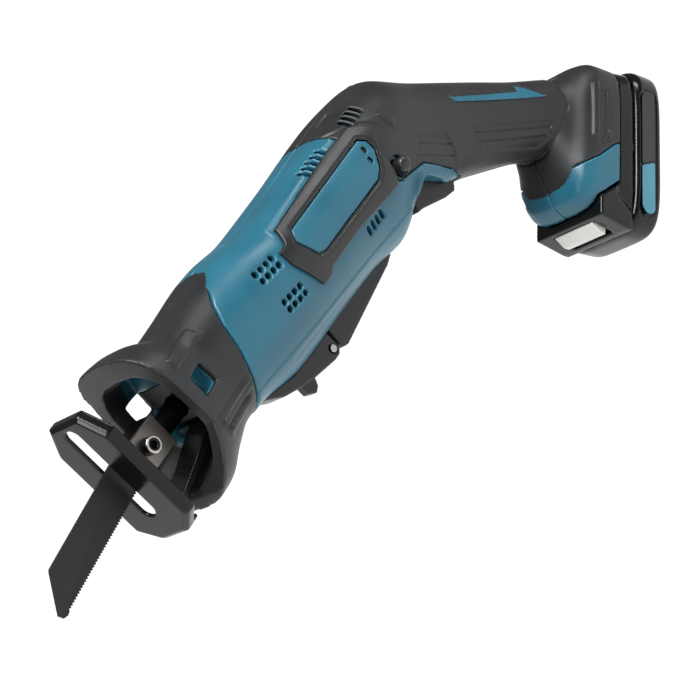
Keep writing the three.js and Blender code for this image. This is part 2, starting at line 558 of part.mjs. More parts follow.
const pinFoot = [crankX, 0, GEAR_TOP + GAP];
add('crank_pin', 'steel', bar(pinFoot, [crankX, 0, YOKE_BOTTOM - 2 * GAP], CRANK_PIN_R, 16)
  .add(bar(pinFoot, [crankX, 0, GEAR_TOP + 1], CRANK_PIN_R + 1.5, 16)));

// Reciprocating rod with its slotted yoke.
const clampBack = CLAMP_FRONT + CLAMP_LENGTH;
const slotX = CRANK_PIN_R + GAP;
const slotY = STROKE / 2 + CRANK_PIN_R + GAP;
const yoke = box(crankX - slotX - 4.7, crankX + slotX + 3, -slotY - 2, slotY + 2, YOKE_BOTTOM, -1.5)
  .subtract(box(crankX - slotX, crankX + slotX, -slotY, slotY, YOKE_BOTTOM - 1, 0));
const rodBack = crankX - slotX - 4;
const rod = bar([clampBack + GAP, 0, 0], [rodBack - 1, 0, 0], ROD_R, 20)
  .add(yoke)
  .add(box(rodBack - 4, rodBack + 1, -4.5, 4.5, YOKE_BOTTOM, 4.5));
add('reciprocating_rod', 'steel', rod);
const bushBack = BUSH_FRONT + BUSH_LENGTH;
add('rod_bush', 'brass', bar([BUSH_FRONT, 0, 0], [bushBack, 0, 0], BUSH_R, 24)
  .subtract(bar([BUSH_FRONT - 1, 0, 0], [bushBack + 1, 0, 0], ROD_R + GAP, 24)));
add('dust_plate', 'steel', box(BUSH_FRONT - 1.4, BUSH_FRONT - 0.4, -13, 13, -8, 12)
  .subtract(bar([BUSH_FRONT - 2, 0, 0], [BUSH_FRONT, 0, 0], ROD_R + 0.6, 20)));

// ---------------------------------------------------------------- blade clamp and blade
const boltX = CLAMP_FRONT + 8.2;
const boltZ = (CLAMP_TOP - CLAMP_BOTTOM) / 2 + 0.7;
const clampFace = -CLAMP_BACK + 1.9; // near face of the block, which the clamping plate lies on
const boltBore = bar([boltX, -30, boltZ], [boltX, 30, boltZ], BOLT_R + GAP, 16);
const tang = [-4.2, 6.2]; // bottom and top of the blade's shank
const bladeGap = BLADE_THICK / 2 + GAP;
const clampBlock = box(CLAMP_FRONT, clampBack, clampFace, CLAMP_BACK, -CLAMP_BOTTOM, CLAMP_TOP)
  .subtract(box(0, clampBack - 1, -bladeGap, bladeGap, tang[0] - GAP, tang[1] + GAP))
  .subtract(boltBore);
add('clamp_block', 'black_steel', clampBlock);
const plateFace = clampFace - GAP - CLAMP_PLATE;
add('clamp_plate', 'steel', box(CLAMP_FRONT, clampBack, plateFace, clampFace - GAP, -CLAMP_BOTTOM, CLAMP_TOP)
  .subtract(boltBore));
const headBack = plateFace - GAP;
const headFront = headBack - BOLT_HEAD;
add('clamp_bolt', 'black_steel', bar([boltX, headBack, boltZ], [boltX, headFront, boltZ], BOLT_HEAD_R, 24)
  .subtract(bar([boltX, headBack - 1.8, boltZ], [boltX, headBack - BOLT_HEAD - 1, boltZ], 1.75, 6))
  .add(bar([boltX, headBack - 0.5, boltZ], [boltX, CLAMP_BACK + 1, boltZ], BOLT_R, 16)));

const lean = Math.tan(rad(BLADE_PITCH));
const spineZ = (x) => BLADE_WIDTH / 2 + lean * x;
const edgeZ = (x) => -BLADE_WIDTH / 2 + lean * x;
const bladeBack = CLAMP_FRONT - 0.8;
const tipTop = -BLADE_REACH + 11;
const teeth = [];
for (let x = bladeBack - 4; x > -BLADE_REACH + 5; x -= TOOTH_PITCH) {
  teeth.push([x, edgeZ(x) + TOOTH_DEPTH], [x - TOOTH_PITCH * 0.3, edgeZ(x)]);
}
const bladeLine = [
  [bladeBack, spineZ(bladeBack) - 1], [bladeBack - 1, spineZ(bladeBack)], [tipTop + 1, spineZ(tipTop)],
  [tipTop, spineZ(tipTop) - 0.8], [-BLADE_REACH, edgeZ(-BLADE_REACH) + 3],
  [-BLADE_REACH + 1, edgeZ(-BLADE_REACH) + 0.6], [-BLADE_REACH + 3, edgeZ(-BLADE_REACH)], ...teeth.reverse(),
  [bladeBack, edgeZ(bladeBack) + 1.5], [bladeBack, tang[0]],
  [clampBack - 1.4, tang[0]], [clampBack - 1.4, tang[1]], [bladeBack, tang[1]]];
add('saw_blade', 'black_steel', prism(bladeLine, -BLADE_THICK / 2, BLADE_THICK / 2).subtract(
  bar([boltX, -5, boltZ], [boltX, 5, boltZ], BOLT_R + 2 * GAP, 16)));

// ---------------------------------------------------------------- shoe
function shoeShape(inset) {
  const half = SHOE_HALF - inset;
  const corners = [
    [11 - inset / 2, SHOE_TOP - inset], [half, SHOE_TOP - 12 - inset / 2],
    [half, 8 - SHOE_BOTTOM + inset / 2], [9 - inset / 2, inset - SHOE_BOTTOM],
  ];
  const outline = [...corners, ...corners.slice().reverse().map(([y, z]) => [-y, z])];
  return new THREE.Shape(outline.map(([y, z]) => new THREE.Vector2(y, z)));
}
const slotShape = new THREE.Shape();
slotShape.absarc(0, SLOT_TOP - SLOT_HALF, SLOT_HALF, 0, Math.PI, false);
slotShape.absarc(0, SLOT_HALF - SLOT_BOTTOM, SLOT_HALF, Math.PI, 2 * Math.PI, false);
const shoe = union(plate(shoeShape(1.4), 0, SHOE_THICK), plate(shoeShape(0), 1, SHOE_FLANGE))
  .subtract(plate(shoeShape(SHOE_THICK), SHOE_THICK, SHOE_FLANGE + 1))
  .subtract(plate(slotShape, -1, SHOE_THICK + 1))
  .add(box(1, 10, -9, 9, -SHOE_BOTTOM, -SHOE_BOTTOM + SHOE_THICK));
add('shoe', 'black_steel', shoe);
// The stay is the bent strap that carries the shoe from its hinge inside the nose.
const stayLine = [
  [SHOE_THICK + GAP, 3 - SHOE_BOTTOM], [SHOE_THICK + GAP, 9 - SHOE_BOTTOM], [12, 10.5 - SHOE_BOTTOM],
  [28, -17.5], [PIVOT_X - 7, PIVOT_Z + 2], [PIVOT_X, PIVOT_Z + 3.8], [PIVOT_X + 3.5, PIVOT_Z + 2],
  [PIVOT_X + 3.8, PIVOT_Z - 0.5], [PIVOT_X + 2, PIVOT_Z - 3.5], [PIVOT_X - 6, PIVOT_Z - 3.5], [28, -20.5],
  [13, 7 - SHOE_BOTTOM], [8, 3 - SHOE_BOTTOM],
];
add('shoe_stay', 'black_steel', prism(stayLine, -8, 8)
  .subtract(bar([PIVOT_X, -20, PIVOT_Z], [PIVOT_X, 20, PIVOT_Z], PIVOT_R + GAP, 16)));
add('shoe_pin', 'steel', bar([PIVOT_X, -pivotHalf, PIVOT_Z], [PIVOT_X, pivotHalf, PIVOT_Z], PIVOT_R, 16));
add('work_light', 'clear', bar([45.6, -14, -3.5], [48.6, -14, -3.5], 2.4, 16, 2.4));

// ---------------------------------------------------------------- paddle under the barrel
const [pinX, pinZ] = PADDLE_PIN;
const ear = bar([pinX, -3, pinZ], [pinX, 3, pinZ], 3, 16).add(box(pinX, 122.5, -3, 3, pinZ - 3, pinZ + 1.5));
const pinBore = bar([pinX, -PADDLE_HALF - 2, pinZ], [pinX, PADDLE_HALF + 2, pinZ], PADDLE_PIN_R + GAP, 16);
const paddleLine = [
  [121.4, -41.5], [122, -43.3], [125, -44.3], [171, -38.6], [176, -37], [177.5, -35], [177.5, -31.6],
  [122.4, -31.6], // leaves room for the front corner as the paddle tips
];
add('paddle', 'rubber', prism(paddleLine, -PADDLE_HALF, PADDLE_HALF).add(ear).subtract(pinBore));
const pinEnd = PADDLE_HALF + 0.6;
add('paddle_pin', 'steel', bar([pinX, -pinEnd, pinZ], [pinX, pinEnd, pinZ], PADDLE_PIN_R, 16));
const bracket = prism([
  [73, -20], [74, -28.5], [82, -34.3], [92, -38.2], [100, -40.6], [114, -43.6], [118, -43.6], [120.5, -41.5],
  [120.5, -20]], -PADDLE_HALF, PADDLE_HALF)
  .subtract(body(-GAP)).subtract(box(112.5, 125, -3.3, 3.3, -60, -34.5))
  .subtract(box(90.5, 107, -2.9, 2.9, -60, -35.2))
  .subtract(pinBore);
add('paddle_bracket', 'plastic', bracket);
add('paddle_lock', 'plastic', prism([
  [95, -36], [101.5, -36], [102.8, -42], [101, -45.2], [98, -46.6], [94.5, -44]], -2.5, 2.5));

// ---------------------------------------------------------------- button, trigger and switch
const BUTTON_END = BODY_HALF + 3.8;
const dome = (y, side) => {
  const cap = new THREE.SphereGeometry(BUTTON_R, 14, 8);
  cap.scale(1, 0.6, 1);
  cap.translate(BUTTON_X, y - side * BUTTON_R * 0.6, BUTTON_Z);
  return solid(cap);
};
const buttonRight = BUTTON_END - BUTTON_TRAVEL;
add('lock_off_button', 'plastic', union(
  bar([BUTTON_X, -BUTTON_END + 2.2, BUTTON_Z], [BUTTON_X, buttonRight - 2.2, BUTTON_Z], BUTTON_R - 0.2, 20),
  dome(-BUTTON_END, -1), dome(buttonRight, 1)));
const triggerLine = [
  [204, -36.5], [206.5, -31], [213, -25.5], [220, -21], [237, -35], [232.8, -42], [229.5, -45],
  [223, -43.5], [209, -37.5],
];
add('trigger', 'rubber', prism(triggerLine, -PADDLE_HALF, PADDLE_HALF));
add('switch_unit', 'plastic', prism([grip(-12, -8), grip(-12, 9), grip(14, 9), grip(14, -8)], -9, 9));

// ---------------------------------------------------------------- battery
const uvBar = (u0, u1, y, v, r, sides = 24) => {
  const a = uv(u0, v);
  const b = uv(u1, v);
  return bar([a[0], y, a[1]], [b[0], y, b[1]], r, sides);
};
const uvBox = (u0, u1, y0, y1, v0, v1) => uvPrism([[u0, v0], [u1, v0], [u1, v1], [u0, v1]], y0, y1);
const B = BATTERY_HALF;
const packRing = ([v, back, front, half]) => footRing({ v, back, front, half, power: 5 });
const pack = (list) => skin(list.map(packRing));
const lowerCase = pack([
  [0, BACK + 3, FRONT - 3, B - 3], [2.5, BACK, FRONT - 0.5, B], [14, BACK, FRONT + 0.5, B],
  [BATTERY_FLANGE, BACK + 1.5, FRONT, B - 1.5]])
  .subtract(pack([[2.2, BACK + 3, FRONT - 3, B - 3], [BATTERY_FLANGE + 2, BACK + 3, FRONT - 3, B - 3.2]]));
add('battery_lower_case', 'gloss', lowerCase);
const LIP = BATTERY_FLANGE + GAP;
const nose = FRONT + 0.5; // front face of the upper case, behind the release button
const towerLine = [
  [23, LIP], [23, 27.2], [31.3, BATTERY_HUMP + 0.4], [nose - 3, BATTERY_HUMP + 0.4], [nose, LIP + 3],
  [nose, LIP],
];
const upperForm = union(
  pack([[LIP, BACK + 2, FRONT - 1, B - 2.2], [BATTERY_NECK, BACK + 3.5, FRONT - 6, B - 3]]),
  uvPrism(towerLine, -B + 3, B - 3),
  uvBox(-35, 30, -17, 17, LIP + 4, BATTERY_HUMP),
  uvBox(-30, 30, -20, 20, 31.8, 35));
const upperCase = upperForm
  .subtract(pack([[LIP - 2, BACK + 4.5, FRONT - 4, B - 4.8], [LIP + 6, BACK + 5.5, FRONT - 6, B - 5.2]]))
  .subtract(uvBox(-33, 35, -14.8, 14.8, LIP - 2, BATTERY_HUMP - 1.8))
  .subtract(uvPrism([[nose - 3.8, 21.5], [nose - 3.8, 35], [nose + 6, 35], [nose + 6, 21.5]], -14, 14))
  .subtract(uvBox(-40, -14.5, -7, -5, 33, 60)).subtract(uvBox(-40, -14.5, 5, 7, 33, 60));
add('battery_upper_case', 'gloss', upperCase);
const releaseLine = [
  [nose - 3.4, 25.5], [nose - 3.4, 34.4], [nose - 2, 34.4], [nose + 1.2, 29], [nose + 1.2, 25.5],
];
add('battery_release_button', 'ivory', uvPrism(releaseLine, -13.5, 13.5));
const cellU = 0.5;
[[-12.6, 11.5], [12.6, 11.5], [0, 25.2]].forEach(([y, v], i) => {
  add(`cell_${i + 1}`, 'steel', uvBar(cellU - CELL_LENGTH / 2, cellU + CELL_LENGTH / 2, y, v, CELL_R, 20));
});
const contacts = [-6, 6].map((y) => uvBox(-27, -16, y - 0.6, y + 0.6, BATTERY_HUMP - 3.4, 40));
add('terminal_block', 'plastic', union(uvBox(-27, -10, -12, 12, 39, 43), ...contacts));

export default saw;
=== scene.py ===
import json
import math

import bmesh
import bpy
from mathutils import Matrix, Vector
from mathutils.bvhtree import BVHTree

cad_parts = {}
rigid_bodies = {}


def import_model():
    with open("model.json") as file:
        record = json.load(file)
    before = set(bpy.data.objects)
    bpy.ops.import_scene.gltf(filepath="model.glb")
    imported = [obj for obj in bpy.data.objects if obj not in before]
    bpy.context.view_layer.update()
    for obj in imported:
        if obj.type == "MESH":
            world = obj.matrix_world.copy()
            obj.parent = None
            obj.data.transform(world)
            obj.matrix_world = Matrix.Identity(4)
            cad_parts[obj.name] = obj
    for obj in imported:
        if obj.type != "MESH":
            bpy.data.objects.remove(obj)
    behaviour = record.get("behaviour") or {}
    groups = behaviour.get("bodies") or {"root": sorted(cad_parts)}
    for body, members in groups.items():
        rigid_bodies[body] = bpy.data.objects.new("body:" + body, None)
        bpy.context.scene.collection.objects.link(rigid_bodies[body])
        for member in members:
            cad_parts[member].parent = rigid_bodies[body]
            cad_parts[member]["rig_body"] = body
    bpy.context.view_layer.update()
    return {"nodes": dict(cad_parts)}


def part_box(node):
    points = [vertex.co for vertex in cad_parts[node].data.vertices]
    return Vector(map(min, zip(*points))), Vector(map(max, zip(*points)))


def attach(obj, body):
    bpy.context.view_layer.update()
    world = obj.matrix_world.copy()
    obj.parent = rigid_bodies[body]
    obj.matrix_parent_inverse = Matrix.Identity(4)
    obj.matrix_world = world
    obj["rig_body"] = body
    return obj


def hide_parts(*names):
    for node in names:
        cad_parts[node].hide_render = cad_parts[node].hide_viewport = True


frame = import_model()

# ------------------------------------------------------------------ casing halves
# Two halves of glass-filled nylon, injection moulded and screwed together along the middle of the tool.
# They show as the teal barrel, the trigger guard and the skirt that holds the battery.
AXIS_HEIGHT = 25.0  # from the origin, on the shoe, up to the stroke axis
BODY_HALF = 30.0
BARREL_TOP = 24.5
BARREL_BOTTOM = 33.0
SHOULDER_X = 188.0  # where the barrel turns down into the handle
HANDLE_PITCH = math.radians(38)
HANDLE_HALF = 17.0
HANDLE_RUN = 62.0
GRIP_START = (257.0, -26.0)
BATTERY_TILT = math.radians(32)


def at_axis(x, y, z):
    """A point of the frame, in metres, from millimetres off the stroke axis."""
    return Vector((x, y, z + AXIS_HEIGHT)) / 1000


def grip_at(t, h):
    """x and z of the point t down the handle's middle line and h above it."""
    return (GRIP_START[0] + math.cos(HANDLE_PITCH) * t + math.sin(HANDLE_PITCH) * h,
            GRIP_START[1] - math.sin(HANDLE_PITCH) * t + math.cos(HANDLE_PITCH) * h)


BATTERY_BASE = (326.448, -115.946)  # middle of the battery's underside


def battery_at(u, v):
    """x and z of the point u forward along the battery and v up from its underside."""
    c, s = math.cos(BATTERY_TILT), math.sin(BATTERY_TILT)
    return BATTERY_BASE[0] - c * u - s * v, BATTERY_BASE[1] - s * u + c * v


def along_battery(x, z):
    """u and v of a point of the side view."""
    c, s = math.cos(BATTERY_TILT), math.sin(BATTERY_TILT)
    dx, dz = x - BATTERY_BASE[0], z - BATTERY_BASE[1]
    return -c * dx - s * dz, -s * dx + c * dz


def eased(rows, steps=10, rounds=8):
    """Rows of sizes drawn closer together, and rounded where they turn."""
    close = []
    for a, b in zip(rows, rows[1:]):
        close += [[p + (q - p) * i / steps for p, q in zip(a, b)] for i in range(steps)]
    close.append(list(rows[-1]))
    for _ in range(rounds):
        inner = [[(p + 2 * q + r) / 4 for p, q, r in zip(*three)]
                 for three in zip(close, close[1:], close[2:])]
        close = [close[0], *inner, close[-1]]
    return close


def loft(loops):
    """One closed skin through loops of points that all have the same number of points."""
    bm = bmesh.new()
    rings = []
    for loop in loops:
        made = bmesh.ops.create_circle(bm, cap_ends=False, segments=len(loop), radius=1)["verts"]
        for vert, point in zip(made, loop):
            vert.co = at_axis(*point)
        rings.append(list({edge for vert in made for edge in vert.link_edges}))
    for a, b in zip(rings, rings[1:]):
        bmesh.ops.bridge_loops(bm, edges=a + b)
    bmesh.ops.edgeloop_fill(bm, edges=rings[0])
    bmesh.ops.edgeloop_fill(bm, edges=rings[-1])
    bmesh.ops.recalc_face_normals(bm, faces=bm.faces)
    return bm


def body_ring(row, points=96):
    """One section of the body as a loop of points: an oval with squared sides that leans in the side view."""
    x, z, lean, up, down, half, above, below = row
    loop = []
    for i in range(points):
        c, s = math.cos(2 * math.pi * i / points), math.sin(2 * math.pi * i / points)
        power = 2 / (above if s > 0 else below)
        h = (up if s > 0 else down) * math.copysign(abs(s) ** power, s)
        y = half * math.copysign(abs(c) ** power, c)
        loop.append((x + math.sin(math.radians(lean)) * h, y, z + math.cos(math.radians(lean)) * h))
    return loop


def foot_ring(row, points=96):
    """One section level with the battery: a squared oval at the height v."""
    v, back, front, half, power = row
    loop = []
    for i in range(points):
        c, s = math.cos(2 * math.pi * i / points), math.sin(2 * math.pi * i / points)
        u = (front + back) / 2 + (front - back) / 2 * math.copysign(abs(c) ** (2 / power), c)
        x, z = battery_at(u, v)
        loop.append((x, half * math.copysign(abs(s) ** (2 / power), s), z))
    return loop


# One row for each section of the body from nose to grip: x and z of its middle, its lean in degrees, its
# height above and below the middle, its half width, and how square its upper and its lower half are.
T, D, W, PITCH = BARREL_TOP, BARREL_BOTTOM, BODY_HALF, math.degrees(HANDLE_PITCH)
body_rows = [
    (8, 0, 0, T + 11.5, D + 2.5, W + 0.5, 3.1, 2.6),
    (30, 0, 0, T + 13, D + 2.5, W + 1.2, 3.1, 2.5),
    (42, 0, 0, T + 11, D - 2.5, W - 1.5, 3, 2.4),
    (54, 0, 0, T + 2.2, D - 7.5, W - 4.5, 3, 2.8),
    (72, 0, 0, T + 2.8, D - 6.5, W - 4, 3, 2.6),
    (92, 0, 0, T + 4.3, D - 1, W - 2, 2.8, 2.2),
    (106, 0, 0, T + 3.6, D, W - 1, 2.8, 2.1),
    (124, 0, 0, T, D, W, 2.8, 2.1),
    (SHOULDER_X - 26, 0, 0, T, D + 1, W, 2.8, 2.1),
    (SHOULDER_X - 4, -1, 2, T + 2, D + 4, W, 2.8, 2.2),
    (SHOULDER_X + 12, -2, 14, T + 4.5, D + 1.5, W - 1.5, 2.6, 2.3),
    (SHOULDER_X + 30, -4, 27, 31, 31, W - 5, 2.3, 2.4),
    (SHOULDER_X + 48, -14, 34, 25, 29, HANDLE_HALF + 4, 2.2, 2.4),
    (*grip_at(0, 0), PITCH, 21, 25, HANDLE_HALF + 1, 2.2, 2.4),
    (*grip_at(20, 0), PITCH, 20.5, 22, HANDLE_HALF, 2.2, 2.4),
    (*grip_at(40, 0), PITCH, 19.5, 19, HANDLE_HALF, 2.2, 2.4),
    (*grip_at(HANDLE_RUN, 0), PITCH, 19.5, 19.5, HANDLE_HALF + 2, 2.3, 2.6),
    (*grip_at(HANDLE_RUN + 1, 0), PITCH, 19.5, 19.5, HANDLE_HALF + 2, 2.3, 2.6),
]
# One row for each section of the battery holder: height above the battery's underside, back and front
# end along the battery, half width, and how square it is.
holder_rows = [
    (26.9, -40, 37, 26, 4.5),
    (41, -40, 37, 26, 4.5),
    (47.5, -36.5, 33, 24.5, 4),
    (52.5, -31, 24, 20.5, 3),
    (58.8, -28, 14, 17.5, 2.5),
]


def body_hull(proud=0):
    """The true curve of the barrel and grip, or one that stands proud of it by so many mm."""
    rows = [(x, z, lean, up + proud, down + proud, half + proud, above, below)
            for x, z, lean, up, down, half, above, below in eased(body_rows, 8, 5)]
    return BVHTree.FromBMesh(loft([body_ring(row) for row in rows]))


def foot_hull(rows, steps, rounds):
    """The true curve of a piece whose sections follow the battery."""
    return BVHTree.FromBMesh(loft([foot_ring(row) for row in eased(rows, steps, rounds)]))


outer_hulls = [body_hull(), foot_hull(holder_rows, 8, 5)]


def soft_step(value):
    """0 below 0, 1 above 1, and an S between them."""
    value = max(0.0, min(1.0, value))
    return value * value * (3 - 2 * value)


def off_line(a, b, x, z):
    """How far (x, z) lies from the line from a to b, in mm."""
    run_x, run_z = b[0] - a[0], b[1] - a[1]
    part = ((x - a[0]) * run_x + (z - a[1]) * run_z) / (run_x ** 2 + run_z ** 2)
    part = max(0.0, min(1.0, part))
    return math.hypot(x - a[0] - part * run_x, z - a[1] - part * run_z)


def depth_in(outline, x, z):
    """How far (x, z) lies inside an outline, in mm: negative outside it."""
    nearest, within = 1e9, False
    for a, b in zip(outline, outline[1:] + outline[:1]):
        nearest = min(nearest, off_line(a, b, x, z))
        if (a[1] > z) != (b[1] > z) and x < a[0] + (z - a[1]) * (b[0] - a[0]) / (b[1] - a[1]):
            within = not within
    return nearest if within else -nearest


def on_line(a, b, x, z, half, slope):
    """1 within half a width of the line from a to b, falling to 0 over the slope, both in mm."""
    return 1 - soft_step((off_line(a, b, x, z) - half) / slope)


def merged_copy(node):
    """A bmesh of the CAD node, its loose triangles joined."""
    bm = bmesh.new()
    bm.from_mesh(frame["nodes"][node].data)
    bmesh.ops.remove_doubles(bm, verts=bm.verts, dist=2e-6)
    return bm


def piece_from(bm, name):
    """The finished bmesh as an object at the origin."""
    mesh = bpy.data.meshes.new(name)
    bm.to_mesh(mesh)
    bm.free()
    piece = bpy.data.objects.new(name, mesh)
    bpy.context.scene.collection.objects.link(piece)
    return piece


def fix_modifiers(piece):
    """Makes the shape that the piece's modifiers show its own mesh."""
    bpy.context.view_layer.update()
    evaluated = piece.evaluated_get(bpy.context.evaluated_depsgraph_get())
    piece.data = bpy.data.meshes.new_from_object(evaluated)
    piece.modifiers.clear()


def soften(bm, verts, factor):
    """Draws each corner towards the middle of its neighbours."""
    bmesh.ops.smooth_vert(bm, verts=verts, factor=factor, use_axis_x=True, use_axis_y=True, use_axis_z=True)


FACING = 0.75  # a skin faces its true curve where their normals' product is above this
HELD = 0.7  # the share of the reach over which the skin lies fully on its true curve


def moulding(name, node, voxel, rounds, hulls=(), near=1.8, relief=None, keep=1.0):
    """A CAD node as one smooth moulding: a merged copy skinned with even faces, drawn onto its true curves
    where they are near, its edges softened, and then its raised and sunk fields pressed in. voxel and near
    are in mm, and keep is the share of the faces that stays."""
    piece = piece_from(merged_copy(node), name)
    skin = piece.modifiers.new("skin", "REMESH")
    skin.mode = "VOXEL"
    skin.voxel_size = voxel / 1000
    fix_modifiers(piece)
    bm = bmesh.new()
    bm.from_mesh(piece.data)
    soften(bm, bm.verts, 0.5)
    bm.normal_update()
    shown = []
    for vert in bm.verts:
        best = None
        for hull in hulls:
            spot, normal, _, gap = hull.find_nearest(vert.co, near / 1000)
            if spot and normal.dot(vert.normal) > FACING and (best is None or gap < best[1]):
                best = (spot, gap, normal)
        if best:
            hold = 1 - soft_step((best[1] * 1000 / near - HELD) / (1 - HELD))
            vert.co = vert.co.lerp(best[0], hold)
            shown.append((vert, best[2]))
        elif not hulls:
            shown.append((vert, vert.normal.copy()))
    for _ in range(rounds):
        soften(bm, bm.verts, 0.5)
    if relief:
        moves = [(vert, way, relief(vert.co.x * 1000, vert.co.y * 1000, vert.co.z * 1000 - AXIS_HEIGHT))
                 for vert, way in shown]
        moves = [(vert, way * out / 1000) for vert, way, out in moves if out]
        for vert, move in moves:
            vert.co += move
        soften(bm, [vert for vert, _ in moves], 0.3)
    bm.to_mesh(piece.data)
    bm.free()
    if keep < 1:
        piece.modifiers.new("thinned", "DECIMATE").ratio = keep
        fix_modifiers(piece)
    piece.data.shade_smooth()
    return piece


def take_over(piece, node, material):
    """The piece stands for the CAD node: it rides on the same body and wears its own finish."""
    piece.data.materials.clear()
    piece.data.materials.append(material)
    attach(piece, frame["nodes"][node]["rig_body"])
    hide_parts(node)


def colour(code):
    """An sRGB hex value as linear colour."""
    parts = [int(code[i:i + 2], 16) / 255 for i in (1, 3, 5)]
    return [p / 12.92 if p <= 0.04045 else ((p + 0.055) / 1.055) ** 2.4 for p in parts] + [1.0]


def put(tree, kind, inputs=None, **settings):
    """Adds a node with its settings, and sets or links its inputs, by name or by number. In a Mix node of
    colours, input 0 is the share and 6 and 7 are the two colours."""
    made = tree.nodes.new(kind)
    for key, value in settings.items():
        setattr(made, key, value)
    for key, value in (inputs or {}).items():
        if isinstance(value, bpy.types.NodeSocket):
            tree.links.new(value, made.inputs[key])
        else:
            made.inputs[key].default_value = value
    return made


def new_finish(name):
    """A new material, with its node tree, its shader and the place on the piece that its patterns follow."""
    material = bpy.data.materials.new(name)
    material.use_nodes = True
    tree = material.node_tree
    return material, tree, tree.nodes["Principled BSDF"], put(tree, "ShaderNodeTexCoord").outputs["Object"]


def moulded_polymer(name, main, dark, edge, roughness, grain, grain_depth, mottle, specular=0.5):
    """Polymer as it leaves a spark-eroded mould: a slow drift of tone, a fine even grain, and a painted
    highlight that lightens the outer edges towards edge. grain, grain_depth and mottle are in mm."""
    material, tree, shader, place = new_finish(name)
    drift = put(tree, "ShaderNodeTexNoise", {"Vector": place, "Scale": 1000 / mottle, "Detail": 4.0})
    grains = put(tree, "ShaderNodeTexNoise", {"Vector": place, "Scale": 1000 / grain, "Detail": 2.0})
    tone = put(tree, "ShaderNodeMapRange",
               {"Value": drift.outputs[0], "From Min": 0.3, "From Max": 0.7, "To Min": 0.0, "To Max": 1.0})
    base = put(tree, "ShaderNodeMix", {0: tone.outputs[0], 6: colour(dark), 7: colour(main)},
               data_type="RGBA")
    # Pointiness is 0.5 on a flat face and rises on an outer edge, which gets a painted highlight.
    edge_sharpness = put(tree, "ShaderNodeNewGeometry").outputs["Pointiness"]
    painted_highlight_share = put(tree, "ShaderNodeMapRange",
               {"Value": edge_sharpness, "From Min": 0.52, "From Max": 0.62, "To Min": 0.0, "To Max": 0.55})
    final = put(tree, "ShaderNodeMix", {0: painted_highlight_share.outputs[0], 6: base.outputs[2], 7: colour(edge)},
                data_type="RGBA")
    tree.links.new(final.outputs[2], shader.inputs["Base Color"])
    shine = put(tree, "ShaderNodeMapRange",
                {"Value": drift.outputs[0], "From Min": 0.3, "From Max": 0.7,
                 "To Min": roughness - 0.05, "To Max": roughness + 0.05})
    tree.links.new(shine.outputs[0], shader.inputs["Roughness"])
    bump = put(tree, "ShaderNodeBump",
               {"Height": grains.outputs[0], "Strength": 0.5, "Distance": grain_depth / 1000})
    tree.links.new(bump.outputs[0], shader.inputs["Normal"])
    shader.inputs["Specular IOR Level"].default_value = specular
    return material


# Glass-filled nylon, dyed through and moulded with a fine spark-eroded grain: a satin skin that holds a
# broad soft highlight. The real grain is about 0.1 mm; it is drawn at 0.5 mm so that it shows.
teal_nylon = moulded_polymer("teal_glass_filled_nylon", "#1f5f73", "#1a5568", "#5594a8", roughness=0.36,
                             grain=0.5, grain_depth=0.02, mottle=28)

cover_line = [(124, 18.5), (120, 12), (115, 12), (115, 4.5), (121, -12.5), (127, -12.5), (130, -10.5),
              (155, -10.5), (180, -13), (187, -13.5), (191.5, -8), (191.5, 2), (199, 9), (199, 13.5),
              (192, 19.5), (177, 20)]
cover_ledge = [(118.5, 12), (122.5, 21.5), (190, 22.5), (190, 12), (160, 6), (125, 6)]
skirt_crease = [(90, -23.5), (130, -25.5)]


def casing_relief(x, y, z):
    """The ledge round each side cover and the lip of the lower skirt."""
    if x > 192 or abs(y) < 8:
        return 0.0
    clear = soft_step((-depth_in(cover_line, x, z) - 0.6) / 0.8)
    out = 0.7 * soft_step(depth_in(cover_ledge, x, z) / 1.2) * clear
    if z < -12:
        below = -1 if z > -19 - (x - 70) * 0.068 else 1
        out += 0.5 * soft_step(0.5 + 0.6 * below * off_line(*skirt_crease, x, z) / 2)
    return out


for side in ("left", "right"):
    half = moulding(f"casing_half_{side}", f"housing_{side}", voxel=0.7, rounds=2, hulls=outer_hulls,
                    relief=casing_relief, keep=0.42)
    take_over(half, f"housing_{side}", teal_nylon)

# ------------------------------------------------------------------ nose cover
# A thick rubber boot moulded in one piece and stretched over the casing's neck. Its flared front guards
# the blade clamp, and a window on each side lets chips out.
# Moulded elastomer: a matt dark grey that scatters light, with a bloom of lighter tone where it is handled.
boot_rubber = moulded_polymer("moulded_nose_rubber", "#202123", "#191a1b", "#4a4c50", roughness=0.44,
                              grain=0.6, grain_depth=0.03, mottle=14, specular=0.45)
nose_ridges = [[(61.5, -12.2), (37.5, -12)], [(57.5, -16.2), (38.5, -16)]]
upper_field = [(39, 16.8), (39.5, 22.6), (61, 22), (63.5, 15.5)]
lower_field = [(35, -8), (36, -19), (60, -19), (65, -9)]


def nose_relief(x, y, z):
    """The parting line along the top and bottom, two ridges and the raised field on each side."""
    out = 0.0
    if abs(y) < 1.2:
        out -= 0.7 * (1 - soft_step(abs(y) / 0.8))
    if abs(y) > 14:
        for a, b in nose_ridges:
            out += 1.3 * on_line(a, b, x, z, 0.8, 0.8)
        out += 0.9 * soft_step(depth_in(upper_field, x, z) / 0.8)
        out += 0.5 * soft_step(depth_in(lower_field, x, z) / 0.8)
    return out


boot = moulding("nose_boot", "nose_cover", voxel=0.56, rounds=4, hulls=outer_hulls, relief=nose_relief,
                keep=0.7)
take_over(boot, "nose_cover", boot_rubber)

